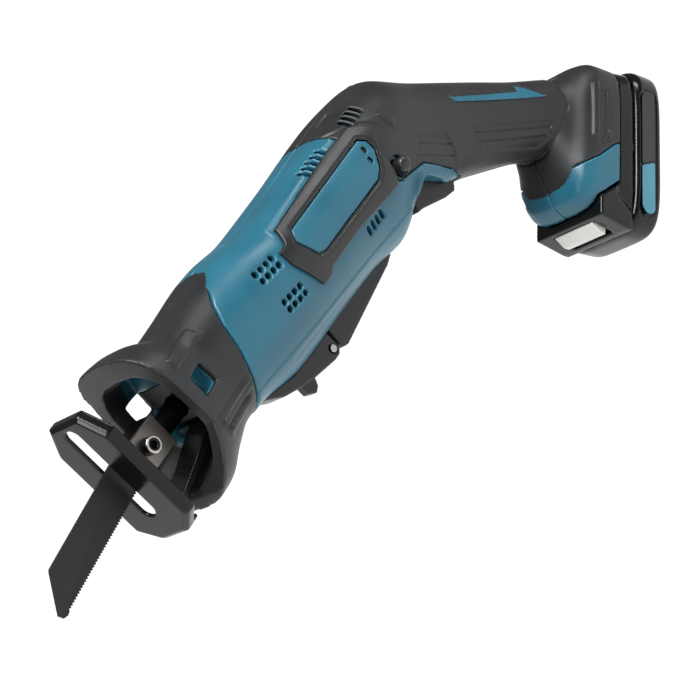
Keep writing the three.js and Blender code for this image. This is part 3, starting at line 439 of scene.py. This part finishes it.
# ------------------------------------------------------------------ grip layer
# A soft elastomer moulded over each casing half, from the cap behind the barrel to the battery holder.
# Sunk fields with fine ribs give the fingers and the palm a hold.
# Thermoplastic elastomer: matt, a little lighter than the nose, with a faint cloudy bloom.
grip_rubber = moulded_polymer("overmoulded_grip_elastomer", "#1f2022", "#18191a", "#494b4f", roughness=0.46,
                              grain=0.6, grain_depth=0.03, mottle=16, specular=0.45)
finger_field = [grip_at(t, h) for t, h in ((-38, -8), (-19, -7.6), (-15.5, -12), (-10, -25), (-44, -25))]
palm_field = [grip_at(t, h) for t, h in ((-1, -3.4), (52, -4.4), (50, -13), (44, -16.7), (5, -16.5))]
field_ribs = [[grip_at(-41, h), grip_at(end, h)] for h, end in ((-12.9, -15.5), (-18.2, -12.5))]
field_ribs += [[grip_at(start, h), grip_at(end, h)] for start, end, h in ((1, 51, -7.8), (3, 48, -12.2))]
rear_window = [(191.5, 28.5), (198.5, 28.6), (207.5, 25), (194.5, 24.6)]
half_round = [(209, 12.6), (214, 11.6), (216, 4.5), (210, 1.6)]
cap_edge = [(183.5, 24), (199, 16.4), (206.5, 8.8)]
stripe_fold = [grip_at(0, 11.9), grip_at(24.5, 11.9), grip_at(29.3, 8.6), grip_at(37, 8.2)]
holder_bar = [(-27, 40.2), (3.5, 40.2), (3.5, 44.7), (-25, 44.7)]
holder_hollow = [(-24, 34.5), (1, 34.5), (7, 39.8), (-24, 39.8)]


def grip_relief(x, y, z):
    """Sunk fields and their ribs, the sunk window and half-round of the cap, and the cap's folded edge."""
    if abs(y) < 6:
        return 0.0
    out = 0.0
    if x > 200:
        for field in (finger_field, palm_field):
            inside = depth_in(field, x, z)
            if inside > -1:
                out -= 0.8 * soft_step(inside / 0.6)
                if inside >= 0.6:
                    out -= 0.7 * max(on_line(a, b, x, z, 0.15, 0.5) for a, b in field_ribs)
    if x < 222:
        out += 0.8 * soft_step(depth_in(half_round, x, z) / 0.7)
        out -= 1.2 * soft_step(depth_in(rear_window, x, z) / 0.8)
        for a, b in zip(cap_edge, cap_edge[1:]):
            out -= 0.7 * on_line(a, b, x, z, 0.1, 0.6)
    if x > 275:
        u, v = along_battery(x, z)
        out += 1.2 * soft_step(depth_in(holder_bar, u, v) / 0.8)
        out -= 0.8 * soft_step(depth_in(holder_hollow, u, v) / 0.8)
    for a, b in zip(stripe_fold, stripe_fold[1:]):
        out -= 0.6 * on_line(a, b, x, z, 0.1, 0.6)
    return out


for side in ("left", "right"):
    layer = moulding(f"grip_layer_{side}", f"grip_{side}", voxel=0.52, rounds=3, hulls=outer_hulls,
                     relief=grip_relief, keep=0.5)
    take_over(layer, f"grip_{side}", grip_rubber)

# ------------------------------------------------------------------ side covers
# A black nylon frame is clipped to each side of the barrel round a teal panel. The frame ends in a small
# lug at its lower front, and the panel has two square holes at its rear.
# Black nylon from a finer mould than the casing's: a touch glossier, with the same soft highlight.
cover_nylon = moulded_polymer("black_cover_nylon", "#1b1c1e", "#151617", "#434548", roughness=0.38,
                              grain=0.45, grain_depth=0.02, mottle=20)
cover_hull, panel_hull = body_hull(2), body_hull(1.2)
panel_line = [(128, 13.3), (125, 9), (129, -1.8), (133, -3.4), (180, -4.2), (185, -2), (191, 5), (191, 10),
              (188, 13.3)]


def frame_relief(x, y, z):
    """The frame slopes down to the panel inside it."""
    return -0.9 * soft_step(1 - (-depth_in(panel_line, x, z) - 0.4) / 2.2)


for side in ("left", "right"):
    surround = moulding(f"cover_frame_{side}", f"side_cover_{side}", voxel=0.42, rounds=3,
                        hulls=[cover_hull], near=1.2, relief=frame_relief)
    take_over(surround, f"side_cover_{side}", cover_nylon)
    panel = moulding(f"cover_panel_{side}", f"side_panel_{side}", voxel=0.4, rounds=2, hulls=[panel_hull],
                     near=1.0)
    take_over(panel, f"side_panel_{side}", teal_nylon)

# ------------------------------------------------------------------ grip inlays
# A teal strip along the top of each side of the grip, ending in a barb. It is the casing's own nylon,
# which stands up through a slot in the grip layer.
for side in ("left", "right"):
    strip = moulding(f"inlay_{side}", f"grip_inlay_{side}", voxel=0.32, rounds=2)
    take_over(strip, f"grip_inlay_{side}", teal_nylon)

# ------------------------------------------------------------------ casing screws
# Seven cross-head screws of blackened steel hold the halves together. They are cold headed, with rolled
# threads, and are driven into wells on the far side.


def machined(name, node, width, angle=35):
    """A turned or milled piece: a merged copy of the CAD node with its edges broken. width is in mm."""
    bm = merged_copy(node)
    bmesh.ops.dissolve_limit(bm, angle_limit=math.radians(0.5), verts=bm.verts, edges=bm.edges)
    piece = piece_from(bm, name)
    piece.data.shade_smooth()
    edge = piece.modifiers.new("broken_edges", "BEVEL")
    edge.width = width / 1000
    edge.segments = 3
    edge.limit_method = "ANGLE"
    edge.angle_limit = math.radians(angle)
    flats = piece.modifiers.new("flat_faces", "WEIGHTED_NORMAL")
    flats.weight = 80
    return piece


EVEN = (1, 1, 1)  # a lay with no direction


def metal(name, main, dark, roughness, grain, depth, lay=EVEN):
    """Bare or blackened metal with fine lines. grain is their spacing and depth their depth, in mm, and lay
    draws them out along x, y or z where its number is small."""
    material, tree, shader, place = new_finish(name)
    drawn_out = put(tree, "ShaderNodeMapping", {"Vector": place, "Scale": lay})
    lines = put(tree, "ShaderNodeTexNoise",
                {"Vector": drawn_out.outputs[0], "Scale": 1000 / grain, "Detail": 3.0})
    # Handling clouds the tone every 5.5 mm or so.
    cloud = put(tree, "ShaderNodeTexNoise", {"Vector": place, "Scale": 180.0, "Detail": 3.0})
    base = put(tree, "ShaderNodeMix", {0: cloud.outputs[0], 6: colour(dark), 7: colour(main)},
               data_type="RGBA")
    tree.links.new(base.outputs[2], shader.inputs["Base Color"])
    shader.inputs["Metallic"].default_value = 1.0
    shine = put(tree, "ShaderNodeMapRange",
                {"Value": lines.outputs[0], "From Min": 0.3, "From Max": 0.7,
                 "To Min": roughness - 0.08, "To Max": roughness + 0.08})
    tree.links.new(shine.outputs[0], shader.inputs["Roughness"])
    bump = put(tree, "ShaderNodeBump",
               {"Height": lines.outputs[0], "Strength": 0.4, "Distance": depth / 1000})
    tree.links.new(bump.outputs[0], shader.inputs["Normal"])
    return material


# Black oxide: a thin dark skin over steel, which leaves its metal shine.
black_oxide = metal("black_oxide_steel", "#333437", "#202124", roughness=0.36, grain=0.6, depth=0.01)
for i in range(1, 8):
    screw = machined(f"screw_{i}", f"casing_screw_{i}", 0.15)
    take_over(screw, f"casing_screw_{i}", black_oxide)

# ------------------------------------------------------------------ motor
# A small brushed motor: a zinc-plated drawn can, two arc magnets, a laminated armature wound with
# enamelled wire, a copper commutator with carbon brushes, and a nylon fan on the shaft.

# Bright zinc is a little cloudy, and ground steel has fine lines along its axis. Ferrite is a dull dark
# ceramic, and the winding shows as copper wires 0.8 mm apart that run along the rotor.
zinc_plate = metal("zinc_plated_steel", "#b4b5b6", "#98999a", roughness=0.32, grain=0.8, depth=0.006)
ground_steel = metal("ground_steel", "#b2b0ad", "#989693", roughness=0.28, grain=0.25, depth=0.005,
                     lay=(0.05, 1, 1))
ferrite = metal("sintered_ferrite", "#3b3b3d", "#2e2e30", roughness=0.6, grain=0.5, depth=0.02)
wound_copper = metal("enamelled_copper_winding", "#b4683e", "#8f4c2c", roughness=0.35, grain=0.8, depth=0.15,
                     lay=(0.08, 1, 1))
for node, material, slot, width in (
        ("motor_can", zinc_plate, "steel", 0.3), ("magnet_upper", ferrite, "magnet", 0.2),
        ("magnet_lower", ferrite, "magnet", 0.2), ("motor_end_cap", cover_nylon, "black_plastic", 0.2),
        ("brush_left", ferrite, "magnet", 0.2), ("brush_right", ferrite, "magnet", 0.2),
        ("motor_shaft", ground_steel, "steel", 0.3), ("armature", wound_copper, "copper", 0.3),
        ("commutator", wound_copper, "copper", 0.2), ("cooling_fan", cover_nylon, "black_plastic", 0.15),
        ("front_bearing", ground_steel, "steel", 0.2), ("rear_bearing", ground_steel, "steel", 0.2)):
    take_over(machined(f"{node}_finished", node, width), node, material)

# ------------------------------------------------------------------ drive
# The pinion on the motor shaft turns a flat hardened gear, whose crank pin drives the yoke of the rod.
# The rod slides in an oil-filled bronze bush, and a steel plate behind the clamp keeps dust out.
# Sintered bronze: a warm brown yellow, dulled by its open pores.
sintered_bronze = metal("sintered_bronze", "#b08a4c", "#8d6c38", roughness=0.42, grain=0.4, depth=0.02)
for node, material, slot, width in (
        ("pinion", ground_steel, "steel", 0.2), ("crank_gear", ground_steel, "steel", 0.3),
        ("crank_shaft", ground_steel, "steel", 0.2), ("crank_pin", ground_steel, "steel", 0.2),
        ("reciprocating_rod", black_oxide, "steel", 0.3), ("rod_bush", sintered_bronze, "bronze", 0.3),
        ("dust_plate", black_oxide, "steel", 0.15)):
    take_over(machined(f"{node}_finished", node, width), node, material)

# ------------------------------------------------------------------ blade clamp
# A blackened block on the end of the rod holds the blade's shank, under a brushed steel plate that a
# hex-socket bolt pulls tight. The rim of the bolt's head carries a painted highlight.

# The plate is belt-brushed up and down, which draws its highlight out sideways. The block is blackened
# over the lines of the cutter that milled it, along the stroke.
brushed_plate = metal("brushed_clamp_steel", "#8f8b86", "#75716d", roughness=0.36, grain=0.35, depth=0.012,
                      lay=(1, 1, 0.06))
black_block = metal("blackened_clamp_steel", "#353434", "#262525", roughness=0.32, grain=0.4, depth=0.01,
                    lay=(0.1, 1, 1))
take_over(machined("clamp_body", "clamp_block", 0.5), "clamp_block", black_block)
take_over(machined("clamp_face_plate", "clamp_plate", 0.5), "clamp_plate", brushed_plate)

bolt = machined("hex_socket_bolt", "clamp_bolt", 0.55)
low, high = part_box("clamp_bolt")
head_middle = ((low[0] + high[0]) / 2, low[1], (low[2] + high[2]) / 2)
# Black oxide again, with a painted highlight: the outer 1 mm of the head's face is drawn in bright steel
# colour, and the socket and the sides stay black.
bolt_with_painted_rim = metal("black_oxide_bolt_with_painted_rim_highlight", "#333437", "#202124", roughness=0.3, grain=0.6,
                  depth=0.01)
bolt_tree = bolt_with_painted_rim.node_tree
bolt_place = put(bolt_tree, "ShaderNodeTexCoord").outputs["Object"]
from_middle = put(bolt_tree, "ShaderNodeVectorMath", {0: bolt_place, 1: head_middle}, operation="SUBTRACT")
on_face = put(bolt_tree, "ShaderNodeVectorMath", {0: from_middle.outputs[0], 1: (1, 0, 1)},
              operation="MULTIPLY")
radius = put(bolt_tree, "ShaderNodeVectorMath", {0: on_face.outputs[0]}, operation="LENGTH")
apart = put(bolt_tree, "ShaderNodeSeparateXYZ", {0: from_middle.outputs[0]})
rim = put(bolt_tree, "ShaderNodeMapRange",
          {"Value": radius.outputs["Value"], "From Min": 0.0026, "From Max": 0.003, "To Min": 0.0,
           "To Max": 1.0})
face = put(bolt_tree, "ShaderNodeMapRange",
           {"Value": apart.outputs[1], "From Min": 0.0004, "From Max": 0.0009, "To Min": 1.0, "To Max": 0.0})
painted_highlight_share = put(bolt_tree, "ShaderNodeMath", {0: rim.outputs[0], 1: face.outputs[0]}, operation="MULTIPLY")
bolt_shader = bolt_tree.nodes["Principled BSDF"]
# Painted highlight: the head's rim is mixed towards bright steel.
painted_rim_highlight = put(bolt_tree, "ShaderNodeMix", {0: painted_highlight_share.outputs[0], 6: colour("#26272a"), 7: colour("#c9c5bf")},
           data_type="RGBA")
bolt_tree.links.new(painted_rim_highlight.outputs[2], bolt_shader.inputs["Base Color"])
take_over(bolt, "clamp_bolt", bolt_with_painted_rim)

# ------------------------------------------------------------------ blade
# A bimetal strip with milled teeth, set a little to each side and painted. Its shank lies in the clamp
# block under the plate.
# Baked paint: an even, nearly black satin, lighter on the teeth and other sharp edges as a painted highlight.
blade_paint = moulded_polymer("baked_blade_paint", "#161617", "#121213", "#444446", roughness=0.42,
                              grain=0.5, grain_depth=0.006, mottle=16, specular=0.3)
take_over(machined("saw_blade_finished", "saw_blade", 0.08, 50), "saw_blade", blade_paint)

# ------------------------------------------------------------------ shoe
# Pressed steel, bent to a tray round its slot and enamelled gloss black. A strap carries it from the
# hinge pin inside the nose.
# Stoved enamel over pressed steel: a hard gloss with rounded, bright-catching bends.
gloss_enamel = moulded_polymer("stoved_black_enamel", "#0c0d0e", "#090a0b", "#2f3134", roughness=0.2,
                               grain=1.6, grain_depth=0.002, mottle=22, specular=0.32)
shoe = moulding("pressed_shoe", "shoe", voxel=0.42, rounds=12)
take_over(shoe, "shoe", gloss_enamel)
strap = moulding("shoe_strap", "shoe_stay", voxel=0.42, rounds=4)
take_over(strap, "shoe_stay", gloss_enamel)
take_over(machined("shoe_hinge_pin", "shoe_pin", 0.2), "shoe_pin", zinc_plate)

# ------------------------------------------------------------------ work light
# A small lamp beside the rod lights the cut. Its lens is moulded in one piece and snaps into the nose
# ahead of the motor.
# Clear polycarbonate: nearly colourless, with flow ripples about 1.1 mm apart that break up what is behind.
lens, lens_tree, lens_shader, lens_place = new_finish("clear_polycarbonate_lens")
ripples = put(lens_tree, "ShaderNodeTexNoise", {"Vector": lens_place, "Scale": 900.0})
lens_bump = put(lens_tree, "ShaderNodeBump",
                {"Height": ripples.outputs[0], "Strength": 0.3, "Distance": 0.00002})
lens_tree.links.new(lens_bump.outputs[0], lens_shader.inputs["Normal"])
lens_shader.inputs["Base Color"].default_value = colour("#e9eff1")
lens_shader.inputs["Roughness"].default_value = 0.12
lens_shader.inputs["IOR"].default_value = 1.58
lens_shader.inputs["Transmission Weight"].default_value = 0.7
take_over(machined("light_lens", "work_light", 0.3), "work_light", lens)

# ------------------------------------------------------------------ paddle
# A long elastomer-faced lever under the barrel, pivoted in a nylon bracket at its front, with a small
# lock lever that hangs below the bracket.
# The same matt elastomer as the grip, a tone lighter where fingers polish it less.
paddle_face = moulded_polymer("paddle_elastomer", "#2a2b2d", "#232426", "#525457", roughness=0.48,
                              grain=0.5, grain_depth=0.03, mottle=14, specular=0.45)
lever = moulding("paddle_lever", "paddle", voxel=0.4, rounds=4)
take_over(lever, "paddle", paddle_face)
bracket = moulding("paddle_pivot_bracket", "paddle_bracket", voxel=0.45, rounds=4)
take_over(bracket, "paddle_bracket", cover_nylon)
catch = moulding("paddle_lock_lever", "paddle_lock", voxel=0.3, rounds=4)
take_over(catch, "paddle_lock", cover_nylon)
take_over(machined("paddle_pivot_pin", "paddle_pin", 0.3), "paddle_pin", zinc_plate)

# ------------------------------------------------------------------ lock-off button and trigger
# The round button is pushed across the tool to free the trigger, which is drawn straight into the grip.
# The switch behind it is a sealed block.
# Unfilled nylon: a little lighter and smoother than the covers.
button_nylon = moulded_polymer("button_nylon", "#232426", "#1c1d1f", "#4a4c4f", roughness=0.34,
                               grain=0.5, grain_depth=0.02, mottle=12)
RING_LINE = 28.6  # from the button's own middle, which lies off the tool's, to each ring line
BUTTON_MIDDLE = -2.5


def button_relief(x, y, z):
    """The ring line round each end of the button."""
    return -0.35 * (1 - soft_step((abs(abs(y - BUTTON_MIDDLE) - RING_LINE) - 0.1) / 0.4))


button = moulding("lock_button", "lock_off_button", voxel=0.3, rounds=4, relief=button_relief)
take_over(button, "lock_off_button", button_nylon)
trigger = moulding("trigger_lever", "trigger", voxel=0.4, rounds=5)
take_over(trigger, "trigger", paddle_face)
take_over(machined("switch_block", "switch_unit", 0.5), "switch_unit", cover_nylon)

# ------------------------------------------------------------------ battery
# A polished black polycarbonate case in two halves round three cells, with rails on top, a framed label
# strip on each long side and an ivory release button on its front.
# Polycarbonate blend from a polished mould: deep black with sharp reflections and faint flow marks.
polished_black = moulded_polymer("polished_black_polycarbonate", "#090a0b", "#070808", "#26282b",
                                 roughness=0.16, grain=1.5, grain_depth=0.004, mottle=30, specular=0.35)
lower_rows = [(0, -40.5, 40.5, 24, 5), (2.5, -43.5, 43, 27, 5), (14, -43.5, 44, 27, 5),
              (17, -42, 43.5, 25.5, 5)]
upper_rows = [(17.3, -41.5, 42.5, 24.8, 5), (26.6, -40, 37.5, 24, 5)]
lower_hull, upper_hull = foot_hull(lower_rows, 6, 2), foot_hull(upper_rows, 6, 2)
label_field = [(-31, 5), (-31, 12), (-27, 15), (32, 15), (36, 12), (36, 8), (33, 4), (-27, 4)]


def label_recess(x, y, z):
    """The sunk field that frames the label on each long side."""
    if abs(y) < 24:
        return 0.0
    return -0.45 * soft_step(depth_in(label_field, *along_battery(x, z)) / 0.7)


lower = moulding("battery_base_case", "battery_lower_case", voxel=0.6, rounds=4, hulls=[lower_hull],
                 near=1.6, relief=label_recess, keep=0.6)
take_over(lower, "battery_lower_case", polished_black)
upper = moulding("battery_top_case", "battery_upper_case", voxel=0.55, rounds=7, hulls=[upper_hull],
                 near=1.6, keep=0.6)
take_over(upper, "battery_upper_case", polished_black)

# A printed film 0.2 mm thick lies in each sunk field: a dark strip with a teal patch at its front end.
FILM_FACE = 26.78  # from the middle of the tool, just proud of the floor of the sunk field
FILM_THICK = 0.2
FILM_CORNER = 1.2


def film(name, outline, side, material):
    """A thin printed film in one of the battery's sunk fields, with its corners rounded."""
    bm = bmesh.new()
    ring = bmesh.ops.create_circle(bm, cap_ends=True, segments=len(outline), radius=1)["verts"]
    for vert, (u, v) in zip(ring, outline):
        x, z = battery_at(u, v)
        vert.co = at_axis(x, side * FILM_FACE, z)
    bmesh.ops.bevel(bm, geom=bm.verts[:], offset=FILM_CORNER / 1000, offset_type="OFFSET", segments=4,
                    profile=0.5, affect="VERTICES", material=-1)
    made = bmesh.ops.extrude_face_region(bm, geom=bm.faces[:])["geom"]
    bmesh.ops.translate(bm, verts=[e for e in made if isinstance(e, bmesh.types.BMVert)],
                        vec=(0, side * FILM_THICK / 1000, 0))
    bmesh.ops.recalc_face_normals(bm, faces=bm.faces)
    piece = piece_from(bm, name)
    piece.data.materials.append(material)
    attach(piece, frame["nodes"]["battery_lower_case"]["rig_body"])


# Screen-printed polycarbonate film: flat ink under a smooth satin face.
dark_film = moulded_polymer("dark_printed_film", "#101113", "#0e0f10", "#28292c", roughness=0.3,
                            grain=0.8, grain_depth=0.004, mottle=20)
teal_film = moulded_polymer("teal_printed_film", "#256a7f", "#216378", "#5793a6", roughness=0.3,
                            grain=0.8, grain_depth=0.004, mottle=20)
strip_outline = [(-29.5, 6), (-29.5, 11.6), (-26.5, 14), (9.5, 14), (6, 6)]
patch_outline = [(7, 6), (10.4, 14), (31.5, 14), (34.5, 11.6), (34.5, 8.4), (32.4, 6)]
for side, word in ((-1, "left"), (1, "right")):
    film(f"label_film_{word}", strip_outline, side, dark_film)
    film(f"label_patch_{word}", patch_outline, side, teal_film)

# Ivory acetal: opaque and a little waxy, with soft edges.
ivory = moulded_polymer("ivory_acetal", "#d6d7d1", "#cccdc6", "#e4e4df", roughness=0.42,
                        grain=0.8, grain_depth=0.01, mottle=20)
release = moulding("release_button", "battery_release_button", voxel=0.35, rounds=4)
take_over(release, "battery_release_button", ivory)
for i in (1, 2, 3):
    take_over(machined(f"cell_{i}_finished", f"cell_{i}", 0.6), f"cell_{i}", zinc_plate)
take_over(machined("terminal_block_finished", "terminal_block", 0.3), "terminal_block", cover_nylon)

# ------------------------------------------------------------------ studio
# A wide floor of white paper, far enough below that the saw's shadow falls out of sight, under soft
# lamps and a bright ceiling. The camera has a long lens, and is rolled so that the blade points down.
FLOOR_Z = -0.75
FLOOR_RADIUS = 40
bm = bmesh.new()
bmesh.ops.create_circle(bm, cap_ends=True, segments=64, radius=FLOOR_RADIUS)
bmesh.ops.translate(bm, verts=bm.verts, vec=(0, 0, FLOOR_Z))
floor = piece_from(bm, "floor")
# Uncoated paper: matt and white, and lit a little from below as on a light table.
paper = bpy.data.materials.new("white_paper")
paper.use_nodes = True
paper_shader = paper.node_tree.nodes["Principled BSDF"]
for socket, value in (("Base Color", colour("#f4f4f4")), ("Roughness", 0.9), ("Specular IOR Level", 0.1),
                      ("Emission Color", (1, 1, 1, 1)), ("Emission Strength", 0.2)):
    paper_shader.inputs[socket].default_value = value
floor.data.materials.append(paper)

world = bpy.data.worlds.new("studio")
bpy.context.scene.world = world
world.use_nodes = True
world.node_tree.nodes["Background"].inputs["Color"].default_value = (1, 1, 1, 1)
world.node_tree.nodes["Background"].inputs["Strength"].default_value = 0.16


def lamp(name, place, aim, width, height, watts):
    """A softbox at a place, turned to its aim. Sizes are in metres."""
    light = bpy.data.lights.new(name, "AREA")
    light.shape = "RECTANGLE"
    light.size = width
    light.size_y = height
    light.energy = watts
    stand = bpy.data.objects.new(name, light)
    bpy.context.scene.collection.objects.link(stand)
    stand.location = place
    stand.rotation_euler = (Vector(aim) - Vector(place)).to_track_quat("-Z", "Y").to_euler()


lamp("top_softbox", (0.05, -0.30, 0.85), (0.15, 0, 0), 0.5, 0.16, 5.5)
lamp("front_softbox", (-0.9, -0.1, 0.55), (0.1, 0, 0), 0.25, 0.5, 3.5)
lamp("rear_strip", (0.75, -0.45, 0.5), (0.25, 0, 0), 0.12, 0.5, 2.5)
panel_light = bpy.data.lights.new("large_ceiling_panel", "SUN")
panel_light.energy = 3.0
panel_light.angle = math.radians(35)
ceiling = bpy.data.objects.new("large_ceiling_panel", panel_light)
bpy.context.scene.collection.objects.link(ceiling)
ceiling.rotation_euler = Vector((0.2, 0.45, -0.85)).to_track_quat("-Z", "Y").to_euler()

camera_data = bpy.data.cameras.new("camera")
camera_data.lens = 118.29
camera_data.sensor_width = 36
camera_data.clip_start = 0.01
camera_data.clip_end = 100
camera = bpy.data.objects.new("camera", camera_data)
bpy.context.scene.collection.objects.link(camera)
CAMERA_PLACE = (-0.4441, -0.7760, 0.2563)
turn, lift, roll = math.radians(36.4), math.radians(16.2), math.radians(-44.2)
back = Vector((-math.sin(turn) * math.cos(lift), -math.cos(turn) * math.cos(lift), math.sin(lift)))
right = (-back).cross(Vector((0, 0, 1))).normalized()
up = right.cross(-back)
side_on = math.cos(roll) * right + math.sin(roll) * up
upward = -math.sin(roll) * right + math.cos(roll) * up
facing = Matrix((side_on, upward, back)).transposed().to_4x4()
camera.matrix_world = Matrix.Translation(CAMERA_PLACE) @ facing
bpy.context.scene.camera = camera
bpy.context.scene.view_settings.view_transform = "Standard"
